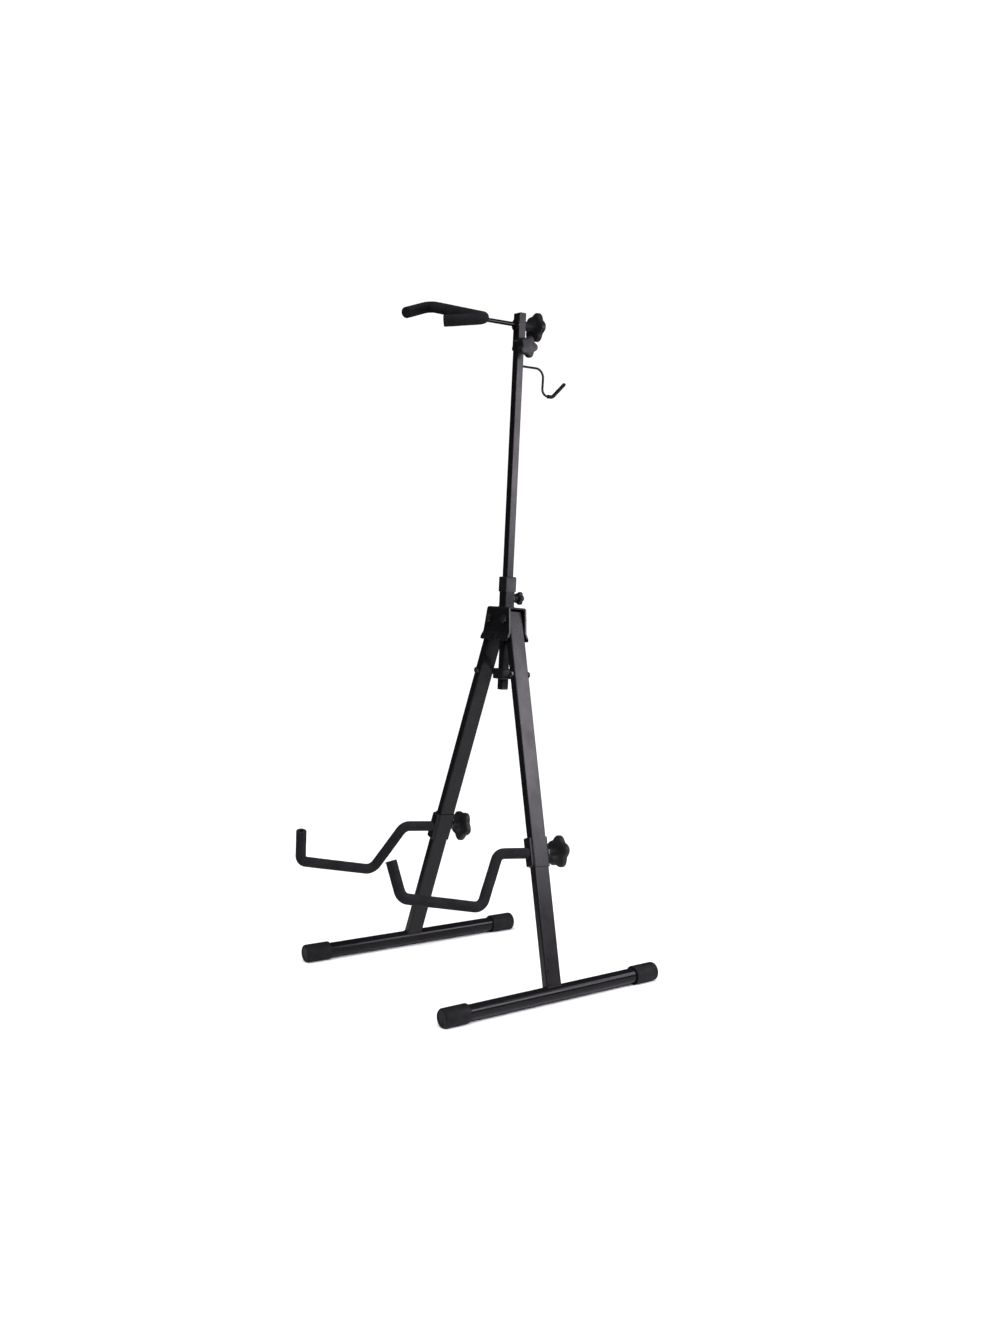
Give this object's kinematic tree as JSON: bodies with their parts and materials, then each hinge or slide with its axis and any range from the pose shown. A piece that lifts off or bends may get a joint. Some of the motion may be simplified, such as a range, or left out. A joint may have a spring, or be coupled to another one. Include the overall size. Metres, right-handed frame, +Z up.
{
  "type": "instrument floor stand",
  "caption": "Folding A-frame floor stand for a stringed instrument, with a sliding mast, foam-covered neck yoke, padded body arms and a bow hook.",
  "frame": {"origin": "on the floor, below the middle of the stand's box at rest", "axes": "+Z up, -Y to the front, where the arms and the yoke reach; +X to the right seen from the front"},
  "size_m": [0.491, 0.4904, 1.1643],
  "materials": {
    "black_paint": "satin black powder coat",
    "foam": "matt foam rubber",
    "rubber": "matt moulded rubber",
    "plastic": "moulded black plastic",
    "steel": "zinc plated",
    "black_steel": "black oxide"
  },
  "bodies": {
    "root": {"hinge_bracket": "black_paint", "socket_tube": "black_paint", "socket_collar": "plastic", "height_nut": "black_steel", "left_hinge_bolt": "black_steel", "left_hinge_nut": "black_steel", "right_hinge_bolt": "black_steel", "right_hinge_nut": "black_steel"},
    "left_leg": {"left_leg_tube": "black_paint", "left_foot_tube": "black_paint", "left_front_cap": "rubber", "left_back_cap": "rubber", "left_link_bolt": "black_steel", "left_link_nut": "black_steel"},
    "left_link": {"left_link": "black_paint", "left_link_rivet": "black_steel"},
    "left_arm": {"left_sleeve": "black_paint", "left_plate": "black_paint", "left_arm_rod": "black_paint", "left_arm_foam": "foam", "left_clamp_nut": "black_steel"},
    "left_clamp_knob": {"left_clamp_knob": "plastic", "left_clamp_screw": "steel"},
    "right_leg": {"right_leg_tube": "black_paint", "right_foot_tube": "black_paint", "right_front_cap": "rubber", "right_back_cap": "rubber", "right_link_bolt": "black_steel", "right_link_nut": "black_steel"},
    "right_link": {"right_link": "black_paint", "right_link_rivet": "black_steel"},
    "right_arm": {"right_sleeve": "black_paint", "right_plate": "black_paint", "right_arm_rod": "black_paint", "right_arm_foam": "foam", "right_clamp_nut": "black_steel"},
    "right_clamp_knob": {"right_clamp_knob": "plastic", "right_clamp_screw": "steel"},
    "slider": {"slider_collar": "plastic"},
    "mast": {"mast_tube": "black_paint", "mast_plug": "plastic", "bow_hook_rod": "black_paint", "bow_hook_sleeve": "rubber"},
    "head": {"head_block": "black_paint", "tilt_bolt": "black_steel"},
    "yoke": {"yoke_rod": "black_paint", "yoke_frame": "black_paint", "yoke_foam": "foam", "yoke_washer": "black_paint"},
    "tilt_knob": {"tilt_knob": "plastic"},
    "yoke_knob": {"yoke_knob": "plastic"},
    "height_knob": {"height_knob": "plastic", "height_screw": "steel"}
  },
  "joints": [
    {"name": "left_leg_fold", "type": "hinge", "parent": "root", "child": "left_leg", "pos_m": [-0.023, 0.0888, 0.6159], "axis": [0, -0.9944, 0.1057], "range_deg": [0, 16.74]},
    {"name": "right_leg_fold", "type": "hinge", "parent": "root", "child": "right_leg", "pos_m": [0.023, 0.0888, 0.6159], "axis": [0, 0.9944, -0.1057], "range_deg": [0, 16.74]},
    {"name": "left_link_turn", "type": "hinge", "parent": "left_leg", "child": "left_link", "pos_m": [-0.05368, 0.07895, 0.52335], "axis": [0, -0.9944, 0.1057], "range_deg": [0, 57.37]},
    {"name": "right_link_turn", "type": "hinge", "parent": "right_leg", "child": "right_link", "pos_m": [0.05368, 0.07895, 0.52335], "axis": [0, 0.9944, -0.1057], "range_deg": [0, 57.37]},
    {"name": "slider_travel", "type": "slide", "parent": "root", "child": "slider", "axis": [0, 0.0623, 0.9981], "range_m": [0, 0.03617]},
    {"name": "mast_height", "type": "slide", "parent": "root", "child": "mast", "axis": [0, 0.0623, 0.9981], "range_m": [-0.3, 0.01]},
    {"name": "head_tilt", "type": "hinge", "parent": "mast", "child": "head", "pos_m": [0, 0.11803, 1.08449], "axis": [1, 0, 0], "range_deg": [0, 50]},
    {"name": "yoke_swivel", "type": "hinge", "parent": "head", "child": "yoke", "pos_m": [0, 0.12048, 1.12381], "axis": [0, -0.9981, 0.0623], "range_deg": [-90, 90]},
    {"name": "tilt_knob_turn", "type": "hinge", "parent": "head", "child": "tilt_knob", "pos_m": [0, 0.11803, 1.08449], "axis": [1, 0, 0], "range_deg": [0, 450]},
    {"name": "yoke_knob_turn", "type": "hinge", "parent": "yoke", "child": "yoke_knob", "pos_m": [0, 0.12048, 1.12381], "axis": [0, 0.9981, -0.0623], "range_deg": [0, 450]},
    {"name": "height_knob_turn", "type": "hinge", "parent": "root", "child": "height_knob", "pos_m": [0, 0.09112, 0.65313], "axis": [0, 0.9981, -0.0623], "range_deg": [0, 450]},
    {"name": "left_arm_height", "type": "slide", "parent": "left_leg", "child": "left_arm", "axis": [0.3131, 0.1004, 0.9444], "range_m": [-0.1, 0.15]},
    {"name": "left_clamp_turn", "type": "hinge", "parent": "left_arm", "child": "left_clamp_knob", "pos_m": [-0.14948, 0.04822, 0.23436], "axis": [0, 0.9944, -0.1057], "range_deg": [0, 450]},
    {"name": "right_arm_height", "type": "slide", "parent": "right_leg", "child": "right_arm", "axis": [-0.3131, 0.1004, 0.9444], "range_m": [-0.1, 0.15]},
    {"name": "right_clamp_turn", "type": "hinge", "parent": "right_arm", "child": "right_clamp_knob", "pos_m": [0.14948, 0.04822, 0.23436], "axis": [0, 0.9944, -0.1057], "range_deg": [0, 450]}
  ],
  "couplings": [
    {"joint": "right_leg_fold", "follows": "left_leg_fold", "ratio": 1},
    {"joint": "left_link_turn", "follows": "left_leg_fold", "ratio": 3.4243},
    {"joint": "right_link_turn", "follows": "left_leg_fold", "ratio": 3.4243},
    {"joint": "slider_travel", "follows": "left_leg_fold", "m_per_rad": 0.12346}
  ]
}
